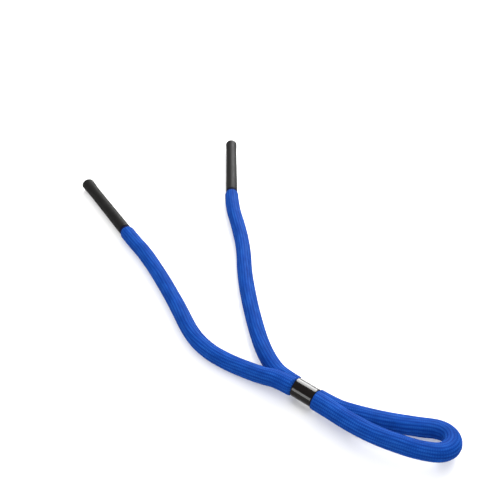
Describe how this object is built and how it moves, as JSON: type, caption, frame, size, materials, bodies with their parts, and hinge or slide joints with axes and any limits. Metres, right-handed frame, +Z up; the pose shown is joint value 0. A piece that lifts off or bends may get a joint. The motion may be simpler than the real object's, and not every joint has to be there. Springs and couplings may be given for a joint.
{
  "type": "eyeglass retainer strap",
  "caption": "Knitted tubular cord doubled through a sliding barrel, with a rubber sleeve at each end that grips a spectacle temple.",
  "frame": {"origin": "under the middle of the box round the two sleeves, their bindings and the slider, on the surface that the strap lies on", "axes": "+Z up from that surface, +Y away from the loop, along the right-hand sleeve to its mouth, +X to the right seen from the loop's side"},
  "size_m": [0.1825, 0.2346, 0.012],
  "materials": {
    "strap_cover": "royal-blue knit, fine lengthwise ribs",
    "strap_filling": "soft white filling yarn",
    "sleeve_rubber": "matte black",
    "binding_thread": "dark navy thread",
    "slider_barrel": "polished black"
  },
  "bodies": {
    "root": {"strap_cover": "strap_cover", "strap_core": "strap_filling", "left_temple_sleeve": "sleeve_rubber", "right_temple_sleeve": "sleeve_rubber", "left_end_binding": "binding_thread", "right_end_binding": "binding_thread"},
    "slider": {"slider_barrel": "slider_barrel"}
  },
  "joints": [
    {"name": "slider_slide", "type": "slide", "parent": "root", "child": "slider", "axis": [0.7849, -0.6196, 0], "range_m": [-0.012, 0.018], "deforming": ["strap_cover", "strap_core"]}
  ]
}
